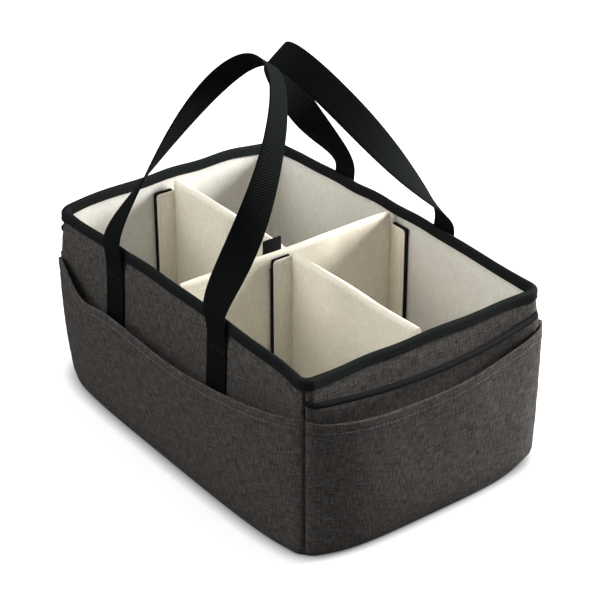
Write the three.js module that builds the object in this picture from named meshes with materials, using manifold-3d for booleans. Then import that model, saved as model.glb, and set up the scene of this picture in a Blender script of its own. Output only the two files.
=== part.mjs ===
// Soft-sided caddy with padded walls, a pocket on each side, webbing handles, elastic cords across
// the ends and lift-out padded dividers. Millimetres, +Z up, the floor at z = 0, the origin under
// the middle. X runs along the long walls and the front wall faces -Y.

import * as THREE from "three";
import { mergeVertices } from "three/addons/utils/BufferGeometryUtils.js";
import Module from "manifold-3d";

const wasm = await Module();
wasm.setup();

// Driving dimensions: body
const RIM_LENGTH = 381; // outside of the shell along X
const RIM_WIDTH = 255; // outside of the shell along Y
const RIM_HEIGHT = 171; // top edge of the walls at the corners
const RIM_CROWN = 6; // rise of the long walls' top edge at mid length
const FLOOR_RADIUS = 7; // roll of the walls into the base
const INNER_CORNER_RADIUS = 3; // plan radius of the corners inside the binding
const SIDE_PUFF = 9; // swell of the long padded walls' foot at mid length
const END_PUFF = 15;
const PUFF_FALL = 2; // the higher, the lower down the wall the swell stays
const CLEARANCE = 0.3; // gap between neighbouring layers

// Driving dimensions: layers
const SHELL = 1.2;
const PADDING = 4.5; // wall foam at its edges
const LINING = 1;
const BASE_CLOTH = 1.5;
const BASE_BOARD = 3;
const BASE_LINING = 1;
const BINDING = 1.2; // thickness of the folded tape round the rim
const BINDING_DROP = 8; // reach of the tape down each face of the wall

// Driving dimensions: pockets
const POCKET_CLOTH = 1.4;
const MOUTH_DROP = 39; // pockets' edges below the rim at the corner seams
const SIDE_GAPE = 16; // how far the long pockets stand open at mid length
const SIDE_SCOOP = 15; // dip of the long pockets' edges at mid length
const END_GAPE = 13;
const END_SCOOP = 12;
const POCKET_BELLY = 0.7; // below 1, the pockets fill out towards their foot
const POCKET_FOOT_ROLL = 50; // degrees that the pockets follow the roll under the wall

// Driving dimensions: handles
const STRAP_WIDTH = 28;
const STRAP = 1.6; // webbing thickness
const FRONT_SPREAD = 158; // between the middles of a handle's legs
const REAR_SPREAD = 144;
const FRONT_SHIFT = -6; // middle between a handle's legs, along X
const REAR_SHIFT = -12;
const FRONT_HEIGHT = 177; // crowns of the arches above the rim
const REAR_HEIGHT = 167;
const FRONT_CROWN = 23; // crowns from the middle plane: the arches lean in over the opening
const REAR_CROWN = 12;
const FRONT_SWAY = 5; // crowns along X, from between the legs: the soft arches hang to one side
const REAR_SWAY = -9;
const TWIST_START = 0.02; // shares of the arch, from each leg, between which the strap turns a quarter turn
const TWIST_END = 0.3;
const LEG_FOOT = 46; // lower end of the sewn legs
const LEG_STEP = 3; // height in which a leg steps out over the binding

// Driving dimensions: elastic cords
const CORD = 6;
const CORD_DROP = 19; // below the rim at the corner seams
const CORD_BOW = 10; // how far the cord stands off the end wall at its middle
const CORD_SAG = 10;

// Driving dimensions: dividers
const DIVIDER = 9; // thickness of a covered divider
const CROSS_RISE = 3; // top of the cross divider above the rim's corners
const HALF_RISE = 1; // top of the half dividers above the rim's corners
const COVER = 1.1; // divider cloth
const FLAP_WIDTH = 27;
const FLAP_DROP = 12.5; // top of an end flap below its divider's top
const TAPE = 1.2; // thickness of hook tape and of loop tape
const TAPE_WIDTH = 20;
const TAPE_MARGIN = 22; // bare end of a flap below its tape
const TAPE_SHOW = 1.5; // how far a tape shows past its flap's free edge and top

// Mesh fineness
const ARC_STEPS = 2; // half of a corner, in plan
const SPAN_STEPS = 8; // straight run of a wall
const ROLL_STEPS = 3;
const RISE_STEPS = 7;
const ARCH_STEPS = 64;
const CORD_POINTS = 6;
const CORD_STEPS = 30;
const CORD_SIDES = 10;

// Powers of the bows along a wall
const ROUND_BOW = 2;
const FLAT_BOW = 4;

// Sizes that follow
const FOAM_DEPTH = SHELL + CLEARANCE;
const LINING_DEPTH = FOAM_DEPTH + PADDING + CLEARANCE;
const WALL = LINING_DEPTH + LINING;
const CORNER_RADIUS = INNER_CORNER_RADIUS + CLEARANCE + Math.max(WALL + BINDING, FLOOR_RADIUS);
const BOARD_FOOT = BASE_CLOTH + CLEARANCE;
const BASE_LINING_FOOT = BOARD_FOOT + BASE_BOARD + CLEARANCE;
const FLOOR_TOP = BASE_LINING_FOOT + BASE_LINING;
const BINDING_TOP = CLEARANCE + BINDING;
const TAPE_FACE = WALL + CLEARANCE + Math.max(TAPE, BINDING) + CLEARANCE;
const FLAP_DEPTH = TAPE_FACE + TAPE + CLEARANCE;
const CROSS_LOOP_FACE = DIVIDER / 2 + CLEARANCE + TAPE;
const DIVIDER_FOOT = FLOOR_TOP + CLEARANCE;

// Each wall seen from outside: the way it faces, the way it runs, half the body across and along it, and
// its swell
const SIDES = {
  front: { out: [0, -1], along: [1, 0], reach: RIM_WIDTH / 2, span: RIM_LENGTH / 2, swell: SIDE_PUFF },
  right: { out: [1, 0], along: [0, 1], reach: RIM_LENGTH / 2, span: RIM_WIDTH / 2, swell: END_PUFF },
  rear: { out: [0, 1], along: [-1, 0], reach: RIM_WIDTH / 2, span: RIM_LENGTH / 2, swell: SIDE_PUFF },
  left: { out: [-1, 0], along: [0, -1], reach: RIM_LENGTH / 2, span: RIM_WIDTH / 2, swell: END_PUFF },
};

const CHARCOAL = new THREE.MeshStandardMaterial({ color: 0x4a4744, roughness: 0.95, metalness: 0 });
const BLACK = new THREE.MeshStandardMaterial({ color: 0x1d2020, roughness: 0.8, metalness: 0 });
const PALE = new THREE.MeshStandardMaterial({ color: 0xcfc8bd, roughness: 0.9, metalness: 0 });
const SAND = new THREE.MeshStandardMaterial({ color: 0xe2d7c4, roughness: 0.9, metalness: 0 });
const FOAM = new THREE.MeshStandardMaterial({ color: 0xd9d9d4, roughness: 1, metalness: 0 });
const BOARD = new THREE.MeshStandardMaterial({ color: 0x8f8a80, roughness: 0.8, metalness: 0 });

const caddy = new THREE.Group();

function add(name, geometry, material) {
  const mesh = new THREE.Mesh(geometry, material);
  mesh.name = name;
  caddy.add(mesh);
  return mesh;
}

// Evenly spaced values from a to b
function steps(count, a, b) {
  return Array.from({ length: count + 1 }, (_, i) => a + ((b - a) * i) / count);
}

// A closed surface from points and triangles, turned so that its faces point out
function closedSurface(points, triangles) {
  let volume = 0;
  for (const [a, b, c] of triangles) {
    volume += points[a].dot(points[b].clone().cross(points[c]));
  }
  const index = triangles.flatMap(([a, b, c]) => (volume < 0 ? [a, c, b] : [a, b, c]));
  const geometry = new THREE.BufferGeometry().setFromPoints(points);
  geometry.setIndex(index);
  geometry.computeVertexNormals();
  return geometry;
}

function quad(a, b, c, d) {
  return [[a, b, c], [a, c, d]];
}

// A cloth of the thickness between two grids of points, given as functions of a row and a column
function sheet(rows, columns, outer, inner) {
  const points = [];
  for (const face of [outer, inner]) {
    for (let i = 0; i < rows; i++) {
      for (let j = 0; j < columns; j++) points.push(face(i, j));
    }
  }
  const back = rows * columns;
  const at = (i, j) => i * columns + j;
  const triangles = [];
  for (let i = 0; i < rows - 1; i++) {
    for (let j = 0; j < columns - 1; j++) {
      const near = quad(at(i, j), at(i, j + 1), at(i + 1, j + 1), at(i + 1, j));
      const far = near.map(([a, b, c]) => [a + back, c + back, b + back]);
      triangles.push(...near, ...far);
    }
  }
  const border = [];
  for (let j = 0; j < columns - 1; j++) border.push(at(0, j));
  for (let i = 0; i < rows - 1; i++) border.push(at(i, columns - 1));
  for (let j = columns - 1; j > 0; j--) border.push(at(rows - 1, j));
  for (let i = rows - 1; i > 0; i--) border.push(at(i, 0));
  border.forEach((a, k) => {
    const b = border[(k + 1) % border.length];
    triangles.push(...quad(b, a, a + back, b + back));
  });
  return closedSurface(points, triangles);
}

// A solid through a row of sections with the same number of points; a ring when the row closes. The
// quads of a section's two halves are cut along the same way, so a thin twisted strip keeps its thickness
function loft(sections, ring) {
  const size = sections[0].length;
  const points = sections.flat();
  const triangles = [];
  const last = ring ? sections.length : sections.length - 1;
  for (let i = 0; i < last; i++) {
    const here = i * size;
    const next = ((i + 1) % sections.length) * size;
    for (let k = 0; k < size; k++) {
      const m = (k + 1) % size;
      const corners = [here + k, here + m, next + m, next + k];
      if (k >= size / 2) corners.push(corners.shift());
      triangles.push(...quad(...corners));
    }
  }
  if (!ring) {
    const end = (sections.length - 1) * size;
    for (let k = 1; k < size - 1; k++) {
      triangles.push([0, k + 1, k], [end, end + k, end + k + 1]);
    }
  }
  return closedSurface(points, triangles);
}

// Boolean joins and cuts
function solid(geometry) {
  const plain = geometry.clone();
  plain.deleteAttribute("normal");
  plain.deleteAttribute("uv");
  const merged = mergeVertices(plain);
  const vertProperties = new Float32Array(merged.attributes.position.array);
  const triVerts = new Uint32Array(merged.index.array);
  return new wasm.Manifold(new wasm.Mesh({ numProp: 3, vertProperties, triVerts }));
}

function surface(body) {
  const mesh = body.getMesh();
  const geometry = new THREE.BufferGeometry();
  geometry.setAttribute("position", new THREE.BufferAttribute(mesh.vertProperties, 3));
  geometry.setIndex(new THREE.BufferAttribute(mesh.triVerts, 1));
  geometry.computeVertexNormals();
  return geometry;
}

function block(x0, x1, y0, y1, z0, z1) {
  const box = new THREE.BoxGeometry(x1 - x0, y1 - y0, z1 - z0);
  return box.translate((x0 + x1) / 2, (y0 + y1) / 2, (z0 + z1) / 2);
}

// Stations along a wall, from corner seam to corner seam: a place on the straight run and a share of
// the corner's turn
function wallStations(side) {
  const flat = side.span - CORNER_RADIUS;
  const before = steps(ARC_STEPS, -1, 0).slice(0, -1).map((turn) => ({ run: -flat, turn }));
  const after = steps(ARC_STEPS, 0, 1).slice(1).map((turn) => ({ run: flat, turn }));
  const middle = steps(SPAN_STEPS, -flat, flat).map((run) => ({ run, turn: 0 }));
  return [...before, ...middle, ...after];
}

// Plan position of a station at a depth inside the shell's outer face, pushed out by a swell
function plan(side, station, depth, swell = 0) {
  const radius = CORNER_RADIUS - depth;
  const turn = station.turn * (Math.PI / 4 - CLEARANCE / (2 * radius));
  const along = station.run + radius * Math.sin(turn);
  const out = side.reach - CORNER_RADIUS + radius * Math.cos(turn) + swell;
  return new THREE.Vector2(
    along * side.along[0] + out * side.out[0],
    along * side.along[1] + out * side.out[1],
  );
}

// Height of the wall's top edge at a station
function rimHeight(side, station) {
  const x = plan(side, station, 0).x / (RIM_LENGTH / 2);
  return RIM_HEIGHT + RIM_CROWN * (1 - x * x);
}

// Height of the binding tape's lower edge at a station
function bandHeight(side, station) {
  return rimHeight(side, station) - BINDING_DROP - CLEARANCE;
}

// 0 at the corner seams and 1 at the middle of a wall, rising faster the higher the power
function middleness(side, station, power) {
  const seam = side.span - CORNER_RADIUS * (1 - Math.SQRT1_2);
  const along = station.run + CORNER_RADIUS * Math.sin((station.turn * Math.PI) / 4);
  return 1 - Math.min(1, Math.abs(along / seam)) ** power;
}

// Swell of the padded wall at a height: fullest at the foot, none under the binding
function puff(side, station, z) {
  const share = THREE.MathUtils.clamp(z / bandHeight(side, station), 0, 1);
  return side.swell * middleness(side, station, FLAT_BOW) * Math.cos((Math.PI / 2) * share) ** PUFF_FALL;
}

function raised(flat, z) {
  return new THREE.Vector3(flat.x, flat.y, z);
}

// A point of the swelling wall at a height
function wallPoint(side, station, z, depth) {
  return raised(plan(side, station, depth, puff(side, station, z)), z);
}

// A point of the wall's roll into the base, at an angle from upright
function rollPoint(side, station, angle, depth) {
  const radius = FLOOR_RADIUS - depth;
  const inset = FLOOR_RADIUS - radius * Math.cos(angle);
  return wallPoint(side, station, FLOOR_RADIUS - radius * Math.sin(angle), inset);
}

// Heights of a wall's grid at a station: the swelling part, then the top edge under the binding
function wallHeights(side, station) {
  return [
    ...steps(RISE_STEPS, FLOOR_RADIUS, bandHeight(side, station)),
    rimHeight(side, station),
  ];
}

// Walls: shell, foam and lining
function makeShell(name, side) {
  const stations = wallStations(side);
  const rolls = steps(ROLL_STEPS, Math.PI / 2, 0).slice(0, -1);
  const face = (depth) => (i, j) =>
    i < rolls.length
      ? rollPoint(side, stations[j], rolls[i], depth)
      : wallPoint(side, stations[j], wallHeights(side, stations[j])[i - rolls.length], depth);
  const rows = rolls.length + RISE_STEPS + 2;
  add(`${name}_shell`, sheet(rows, stations.length, face(0), face(SHELL)), CHARCOAL);
}

function makeFoam(name, side) {
  const stations = wallStations(side);
  const outer = (i, j) => wallPoint(side, stations[j], wallHeights(side, stations[j])[i], FOAM_DEPTH);
  const inner = (i, j) =>
    raised(plan(side, stations[j], FOAM_DEPTH + PADDING), wallHeights(side, stations[j])[i]);
  add(`${name}_foam`, sheet(RISE_STEPS + 2, stations.length, outer, inner), FOAM);
}

function makeLining(name, side) {
  const stations = wallStations(side);
  const face = (depth) => (i, j) =>
    raised(plan(side, stations[j], depth), i === 0 ? BASE_LINING_FOOT : rimHeight(side, stations[j]));
  add(`${name}_lining`, sheet(2, stations.length, face(LINING_DEPTH), face(WALL)), PALE);
}

// Pockets: cloth sewn in at the base and the corner seams, standing open along its upper edge
function makePocket(name, side, gape, scoop) {
  const stations = wallStations(side);
  const rolls = steps(ROLL_STEPS, THREE.MathUtils.degToRad(POCKET_FOOT_ROLL), 0).slice(0, -1);
  const face = (layer) => (i, j) => {
    const station = stations[j];
    if (i < rolls.length) return rollPoint(side, station, rolls[i], -layer);
    const share = (i - rolls.length) / RISE_STEPS;
    const mouth = RIM_HEIGHT - MOUTH_DROP - scoop * middleness(side, station, ROUND_BOW);
    const z = FLOOR_RADIUS + share * (mouth - FLOOR_RADIUS);
    const open = gape * share ** POCKET_BELLY * middleness(side, station, FLAT_BOW);
    return raised(plan(side, station, -layer, puff(side, station, z) + open), z);
  };
  const rows = rolls.length + RISE_STEPS + 1;
  const cloth = sheet(rows, stations.length, face(CLEARANCE + POCKET_CLOTH), face(CLEARANCE));
  add(`${name}_pocket`, cloth, CHARCOAL);
}

// Base: a rounded plate, set in from the shell's outer face, that takes a share of the walls' swell
function basePlate(inset, z0, thickness, share) {
  const outline = Object.values(SIDES).flatMap((side) =>
    wallStations(side).map((station) =>
      plan(side, station, inset, share * side.swell * middleness(side, station, FLAT_BOW)),
    ),
  );
  const plate = new THREE.ExtrudeGeometry(new THREE.Shape(outline), {
    depth: thickness,
    bevelEnabled: false,
  });
  return plate.translate(0, 0, z0);
}

function makeBase() {
  const inset = FLOOR_RADIUS + CLEARANCE;
  add("base_cloth", basePlate(inset, 0, BASE_CLOTH, 1), CHARCOAL);
  add("base_board", basePlate(inset, BOARD_FOOT, BASE_BOARD, 0), BOARD);
  add("base_lining", basePlate(WALL + CLEARANCE, BASE_LINING_FOOT, BASE_LINING, 0), PALE);
}

// Binding: tape folded over the top edges of shell, foam and lining, all round
function makeBinding() {
  const outside = -CLEARANCE - BINDING;
  const inside = WALL + CLEARANCE + BINDING;
  const section = [
    [outside, -BINDING_DROP],
    [-CLEARANCE, -BINDING_DROP],
    [-CLEARANCE, CLEARANCE],
    [WALL + CLEARANCE, CLEARANCE],
    [WALL + CLEARANCE, -BINDING_DROP],
    [inside, -BINDING_DROP],
    [inside, CLEARANCE],
    [WALL, BINDING_TOP],
    [0, BINDING_TOP],
    [outside, CLEARANCE],
  ];
  const sections = Object.values(SIDES).flatMap((side) =>
    wallStations(side).map((station) =>
      section.map(([depth, rise]) => raised(plan(side, station, depth), rimHeight(side, station) + rise)),
    ),
  );
  add("rim_binding", loft(sections, true), BLACK);
}

// Handles: two sewn legs and a free arch that turns about the rim
function makeLeg(name, side, run, top) {
  const columns = [run - STRAP_WIDTH / 2, run, run + STRAP_WIDTH / 2];
  const stepOver = BINDING + CLEARANCE;
  const face = (layer) => (i, j) => {
    const station = { run: columns[j], turn: 0 };
    const band = bandHeight(side, station);
    const heights = [...steps(RISE_STEPS, LEG_FOOT, band - LEG_STEP), band, top];
    const lift = i < RISE_STEPS + 1 ? 0 : stepOver;
    return raised(plan(side, station, -layer - lift, puff(side, station, heights[i])), heights[i]);
  };
  const leg = sheet(RISE_STEPS + 3, columns.length, face(CLEARANCE + STRAP), face(CLEARANCE));
  add(name, leg, BLACK);
}

function makeArch(name, side, top, { spread, shift, crown, sway, height }) {
  const run = spread / 2;
  const pivotDepth = -(CLEARANCE + BINDING + CLEARANCE + STRAP + CLEARANCE + STRAP / 2);
  const inward = side.reach - pivotDepth - crown;
  const lean = Math.atan2(inward, height);
  const start = STRAP / 2 + CLEARANCE;
  const reach = Math.hypot(inward, height) - start;
  const pivot = raised(plan(side, { run: 0, turn: 0 }, pivotDepth), top);
  pivot.x += shift;
  const right = new THREE.Vector3(1, 0, 0);
  const along = new THREE.Vector3(side.along[0], side.along[1], 0);
  const out = new THREE.Vector3(side.out[0], side.out[1], 0);
  const up = new THREE.Vector3(0, 0, 1);
  const rise = up.clone().multiplyScalar(Math.cos(lean)).addScaledVector(out, -Math.sin(lean));
  const outward = out.clone().multiplyScalar(Math.cos(lean)).addScaledVector(up, Math.sin(lean));
  const sections = steps(ARCH_STEPS, 0, 1).map((share) => {
    const turn = Math.PI * share;
    const centre = pivot.clone()
      .addScaledVector(along, -run * Math.cos(turn))
      .addScaledVector(right, sway * Math.sin(turn))
      .addScaledVector(rise, start + reach * Math.sin(turn));
    const tangent = along.clone().multiplyScalar(run * Math.sin(turn))
      .addScaledVector(right, sway * Math.cos(turn))
      .addScaledVector(rise, reach * Math.cos(turn))
      .normalize();
    const fromLeg = THREE.MathUtils.clamp(Math.min(share, 1 - share), TWIST_START, TWIST_END);
    const turned = (fromLeg - TWIST_START) / (TWIST_END - TWIST_START);
    const quarter = (Math.PI / 2) * Math.sin((Math.PI / 2) * turned);
    const twist = share < 0.5 ? quarter : Math.PI - quarter;
    const width = along.clone().multiplyScalar(-Math.cos(twist))
      .addScaledVector(outward, -Math.sin(twist));
    width.addScaledVector(tangent, -width.dot(tangent)).normalize();
    const face = tangent.clone().cross(width);
    return [[-1, -1], [1, -1], [1, 1], [-1, 1]].map(([w, f]) =>
      centre.clone()
        .addScaledVector(width, (w * STRAP_WIDTH) / 2)
        .addScaledVector(face, (f * STRAP) / 2),
    );
  });
  add(name, loft(sections, false), BLACK);
}

function makeHandle(name, side, arch) {
  const top = rimHeight(side, { run: arch.spread / 2, turn: 0 }) + BINDING_TOP;
  makeLeg(`${name}_handle_left_leg`, side, (arch.shift - arch.spread / 2) * side.along[0], top);
  makeLeg(`${name}_handle_right_leg`, side, (arch.shift + arch.spread / 2) * side.along[0], top);
  makeArch(`${name}_handle`, side, top, arch);
}

// Elastic cord across an end wall, from corner seam to corner seam
function makeCord(name, side) {
  const flat = side.span - CORNER_RADIUS;
  const stations = [
    { run: -flat, turn: -1 },
    ...steps(CORD_POINTS, -flat, flat).map((run) => ({ run, turn: 0 })),
    { run: flat, turn: 1 },
  ];
  const route = stations.map((station) => {
    const middle = middleness(side, station, ROUND_BOW);
    const depth = -CORD / 2 - CLEARANCE;
    const z = RIM_HEIGHT - CORD_DROP - CORD_SAG * middle;
    return raised(plan(side, station, depth, puff(side, station, z) + CORD_BOW * middle), z);
  });
  const section = new THREE.Shape(new THREE.EllipseCurve(0, 0, CORD / 2, CORD / 2).getPoints(CORD_SIDES));
  const cord = new THREE.ExtrudeGeometry(section, {
    steps: CORD_STEPS,
    extrudePath: new THREE.CatmullRomCurve3(route),
  });
  add(`${name}_cord`, cord, BLACK);
}

// Dividers: a foam core in a cloth cover with a round top edge, open below, and a flap at each end
// turned to one side that carries the hook tape
function webGeometry(thickness, foot, top, start, end) {
  const half = thickness / 2;
  const outline = new THREE.Shape();
  outline.moveTo(-half, foot);
  outline.lineTo(half, foot);
  outline.lineTo(half, top - half);
  outline.absarc(0, top - half, half, 0, Math.PI, false);
  outline.closePath();
  const web = new THREE.ExtrudeGeometry(outline, {
    depth: end - start,
    bevelEnabled: false,
    curveSegments: CORD_SIDES,
  });
  return web.translate(0, 0, start).rotateX(Math.PI / 2).rotateZ(Math.PI / 2);
}

// The divider runs along +X from start to end, with its flaps turned to -Y
function makeDivider(name, start, end, top, place, hookNames) {
  const cloth = COVER + CLEARANCE;
  const flapStart = DIVIDER / 2 - FLAP_WIDTH;
  const flapTop = flapHeight(top);
  const web = webGeometry(DIVIDER, DIVIDER_FOOT, top, start + COVER / 2, end - COVER / 2);
  const flaps = [
    block(start, start + COVER, flapStart, DIVIDER / 2, DIVIDER_FOOT, flapTop),
    block(end - COVER, end, flapStart, DIVIDER / 2, DIVIDER_FOOT, flapTop),
  ];
  const pouch = webGeometry(DIVIDER - 2 * COVER, DIVIDER_FOOT - COVER, top - COVER,
    start + 2 * COVER, end - 2 * COVER);
  const core = webGeometry(DIVIDER - 2 * cloth, DIVIDER_FOOT, top - cloth,
    start + 2 * COVER + CLEARANCE, end - 2 * COVER - CLEARANCE);
  const cover = flaps.reduce((body, flap) => body.add(solid(flap)), solid(web)).subtract(solid(pouch));
  place(add(`${name}_cover`, surface(cover), SAND));
  place(add(`${name}_core`, core, FOAM));
  const [z0, z1] = tapeHeights(top);
  const tapeStart = tapeOffset();
  const hooks = [
    block(start - CLEARANCE - TAPE, start - CLEARANCE, tapeStart, tapeStart + TAPE_WIDTH, z0, z1),
    block(end + CLEARANCE, end + CLEARANCE + TAPE, tapeStart, tapeStart + TAPE_WIDTH, z0, z1),
  ];
  hooks.forEach((hook, i) => place(add(`${name}_${hookNames[i]}_hook`, hook, BLACK)));
}

// A flap ends below the binding
function flapHeight(top) {
  return top - FLAP_DROP;
}

// Where the tapes lie on a divider's flaps: heights, and the edge past the flap's free side
function tapeHeights(top) {
  return [DIVIDER_FOOT + TAPE_MARGIN, flapHeight(top) + TAPE_SHOW];
}

function tapeOffset() {
  return DIVIDER / 2 - FLAP_WIDTH - TAPE_SHOW;
}

// Loop tape on a lining wall, facing a divider's hook tape, whose flap is turned along the wall
function makeWallLoop(name, side, top, turned) {
  const [z0, z1] = tapeHeights(top);
  const from = tapeOffset();
  const runs = [from, from + TAPE_WIDTH].map((offset) => offset * turned);
  const face = (depth) => (i, j) => raised(plan(side, { run: runs[j], turn: 0 }, depth), i === 0 ? z0 : z1);
  const tape = sheet(2, 2, face(WALL + CLEARANCE), face(WALL + CLEARANCE + TAPE));
  add(`${name}_wall_loop`, tape, BLACK);
}

// Loop tape on each face of the cross divider, facing the half dividers' hook tape
function makeCrossLoop(name, facing) {
  const [z0, z1] = tapeHeights(RIM_HEIGHT + HALF_RISE);
  const faces = [(CROSS_LOOP_FACE - TAPE) * facing, CROSS_LOOP_FACE * facing].sort((a, b) => a - b);
  const y0 = tapeOffset();
  add(`cross_divider_${name}_loop`, block(...faces, y0, y0 + TAPE_WIDTH, z0, z1), BLACK);
}

function makeDividers() {
  const crossTop = RIM_HEIGHT + CROSS_RISE;
  const halfTop = RIM_HEIGHT + HALF_RISE;
  const crossEnd = RIM_WIDTH / 2 - FLAP_DEPTH;
  const halfEnd = RIM_LENGTH / 2 - FLAP_DEPTH;
  const halfStart = CROSS_LOOP_FACE + CLEARANCE + TAPE + CLEARANCE;
  const crosswise = (mesh) => mesh.rotateZ(Math.PI / 2);
  const inPlace = (mesh) => mesh;
  makeDivider("cross_divider", -crossEnd, crossEnd, crossTop, crosswise, ["front", "rear"]);
  makeDivider("right_divider", halfStart, halfEnd, halfTop, inPlace, ["inner", "outer"]);
  makeDivider("left_divider", -halfEnd, -halfStart, halfTop, inPlace, ["outer", "inner"]);
  makeCrossLoop("right", 1);
  makeCrossLoop("left", -1);
  makeWallLoop("front", SIDES.front, crossTop, -1);
  makeWallLoop("rear", SIDES.rear, crossTop, 1);
  makeWallLoop("right", SIDES.right, halfTop, 1);
  makeWallLoop("left", SIDES.left, halfTop, -1);
}

for (const [name, side] of Object.entries(SIDES)) {
  makeShell(name, side);
  makeFoam(name, side);
  makeLining(name, side);
}
makeBase();
makeBinding();
makePocket("front", SIDES.front, SIDE_GAPE, SIDE_SCOOP);
makePocket("rear", SIDES.rear, SIDE_GAPE, SIDE_SCOOP);
makePocket("right", SIDES.right, END_GAPE, END_SCOOP);
makePocket("left", SIDES.left, END_GAPE, END_SCOOP);
makeHandle("front", SIDES.front, {
  spread: FRONT_SPREAD,
  shift: FRONT_SHIFT,
  crown: FRONT_CROWN,
  sway: FRONT_SWAY,
  height: FRONT_HEIGHT,
});
makeHandle("rear", SIDES.rear, {
  spread: REAR_SPREAD,
  shift: REAR_SHIFT,
  crown: REAR_CROWN,
  sway: REAR_SWAY,
  height: REAR_HEIGHT,
});
makeCord("right", SIDES.right);
makeCord("left", SIDES.left);
makeDividers();

export default caddy;
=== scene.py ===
"""Looks of a soft-sided caddy with pockets, webbing handles, elastic cords and lift-out dividers.

Built round the frame of solids, in metres: +Z up, X along the long walls, the front wall facing -Y.
"""

import math
from math import pi

import bmesh
import bpy
import numpy as np
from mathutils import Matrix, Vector


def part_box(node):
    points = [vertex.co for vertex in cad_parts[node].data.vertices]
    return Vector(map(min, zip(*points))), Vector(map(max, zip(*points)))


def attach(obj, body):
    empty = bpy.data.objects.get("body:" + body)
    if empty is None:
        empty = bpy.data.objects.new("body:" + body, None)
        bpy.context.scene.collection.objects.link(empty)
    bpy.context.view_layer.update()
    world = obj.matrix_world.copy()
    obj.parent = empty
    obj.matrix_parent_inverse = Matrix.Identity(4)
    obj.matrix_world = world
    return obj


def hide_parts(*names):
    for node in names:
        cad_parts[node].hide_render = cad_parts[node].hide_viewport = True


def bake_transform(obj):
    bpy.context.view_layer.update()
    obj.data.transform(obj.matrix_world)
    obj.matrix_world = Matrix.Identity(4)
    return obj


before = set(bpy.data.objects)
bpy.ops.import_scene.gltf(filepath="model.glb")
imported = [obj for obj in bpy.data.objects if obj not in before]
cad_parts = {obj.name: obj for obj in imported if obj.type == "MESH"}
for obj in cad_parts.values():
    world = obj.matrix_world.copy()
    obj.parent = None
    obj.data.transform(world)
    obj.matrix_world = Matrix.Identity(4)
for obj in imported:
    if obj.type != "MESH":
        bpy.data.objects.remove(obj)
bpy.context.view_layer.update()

SCENE = bpy.context.scene
MM = 0.001
UP = np.array((0.0, 0, 1))

# Camera, at the photograph's viewing angle
CAMERA_AZIMUTH = math.radians(52.94)
CAMERA_ELEVATION = math.radians(29.41)
CAMERA_DISTANCE = 1.70697
CAMERA_TARGET = Vector((-0.01956, 0.02781, 0.1))
CAMERA_LENS = 111
SENSOR_WIDTH = 36

# Stage
LAMPS = {
    "key": {"at": (0.45, 1.5, 0.7), "size": 0.5, "power": 84},
    "fill": {"at": (-0.7, -1.8, 1.5), "size": 1.6, "power": 36},
    "top": {"at": (0, 0, 2.2), "size": 2, "power": 24},
}
LAMP_AIM = Vector((0, 0, 0.1))
SURROUND = 0.23  # light from all round
FLOOR_REACH = 1.3
FLOOR_SEEN = 0.5  # the floor's colour for the camera
FLOOR_BOUNCE = 0.3  # and for the light that it throws back
FLOOR_GLOW = 0.62  # what the floor adds for the camera
PAINTED_SHADOW_REACH = 0.013  # reach of the painted contact shadow under the object

# Body and layers, as in the frame
CLEARANCE = 0.3 * MM
WALL = 7.3 * MM  # from a wall's outer face to the inner face of its lining
PAD = 4.8 * MM  # thickness of a wall's pad
PAD_ROUND = 2.4 * MM  # height of its round upper edge
LINING = 1 * MM
LINING_DROP = 1.5 * MM  # from the rim down to the lining's upper edge
CORNER_RADIUS = 11.8 * MM
FLOOR_RADIUS = 7 * MM  # roll of the walls into the base
SIDE_PUFF = 9 * MM  # swell of the long walls' foot at mid length
END_PUFF = 15 * MM  # swell of the end walls' foot
PUFF_FALL = 2  # the higher, the sooner the swell falls off above the foot
RIM_CROWN = 6 * MM  # rise of the long walls' upper edge at mid length
RIM_RISES = {"left": 7 * MM}  # how far a wall's upper edge is drawn up at mid length
BASE_RINGS = (0.9, 0.7, 0.4, 0.15, 0.03)  # draw-in of a base sheet's rings

# Binding
BINDING = 1.2 * MM
BINDING_DROP = 8 * MM
BINDING_OUT = CLEARANCE + BINDING
BINDING_SHOULDER = -1.4 * MM  # where the tape begins to round over
BINDING_LIFT = 0.5 * MM  # unevenness of the tape, up and across
BINDING_LEAN = 0.4 * MM
BINDING_STITCH_ROW = 1  # stitched row of its section
HALF_LENGTH, HALF_WIDTH, CROWN_TOP = Vector(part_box("rim_binding")[1]) - Vector((BINDING_OUT,) * 3)
RIM_HEIGHT = CROWN_TOP - RIM_CROWN
LINING_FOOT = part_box("base_lining")[0][2]

# Pockets. Lifts are at a wall's start and end corner, and a droop lies near its start.
POCKET_CLOTH = 1.4 * MM
MOUTH_DROP = 39 * MM
POCKET_BELLY = 0.7  # the lower, the fuller a pocket's lower part
POCKET_FOOT_ROLL = math.radians(50)
POCKETS = {
    "front": {"gape": 16 * MM, "scoop": 15.5 * MM, "lifts": (-9 * MM, 4 * MM), "droop": 11.2 * MM},
    "right": {"gape": 13 * MM, "scoop": 12 * MM, "lifts": (2 * MM, 6 * MM), "droop": 0},
    "rear": {"gape": 16 * MM, "scoop": 15 * MM, "lifts": (6 * MM, 4 * MM), "droop": 0},
    "left": {"gape": 13 * MM, "scoop": 12 * MM, "lifts": (4 * MM, -6 * MM), "droop": 0},
}
LIFT_REACHES = (8 * MM, 110 * MM)
DROOP_AT = 64 * MM  # from the start corner's seam
DROOP_REACH = 32 * MM
HEM_DEPTH = 11 * MM
HEM_SWELL = 0.5 * MM
HEM_EDGE = 2 * MM  # length over which the hem's thickness ends
HEM_STITCH_DROP = 7.6 * MM
HEM_GROOVE = 1.3 * MM  # reach of the groove that the stitching pulls in
HEM_PULL = 0.9  # share of the swell that it takes away
HEM_ZONE = 18 * MM  # closely meshed height below the mouth

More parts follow.
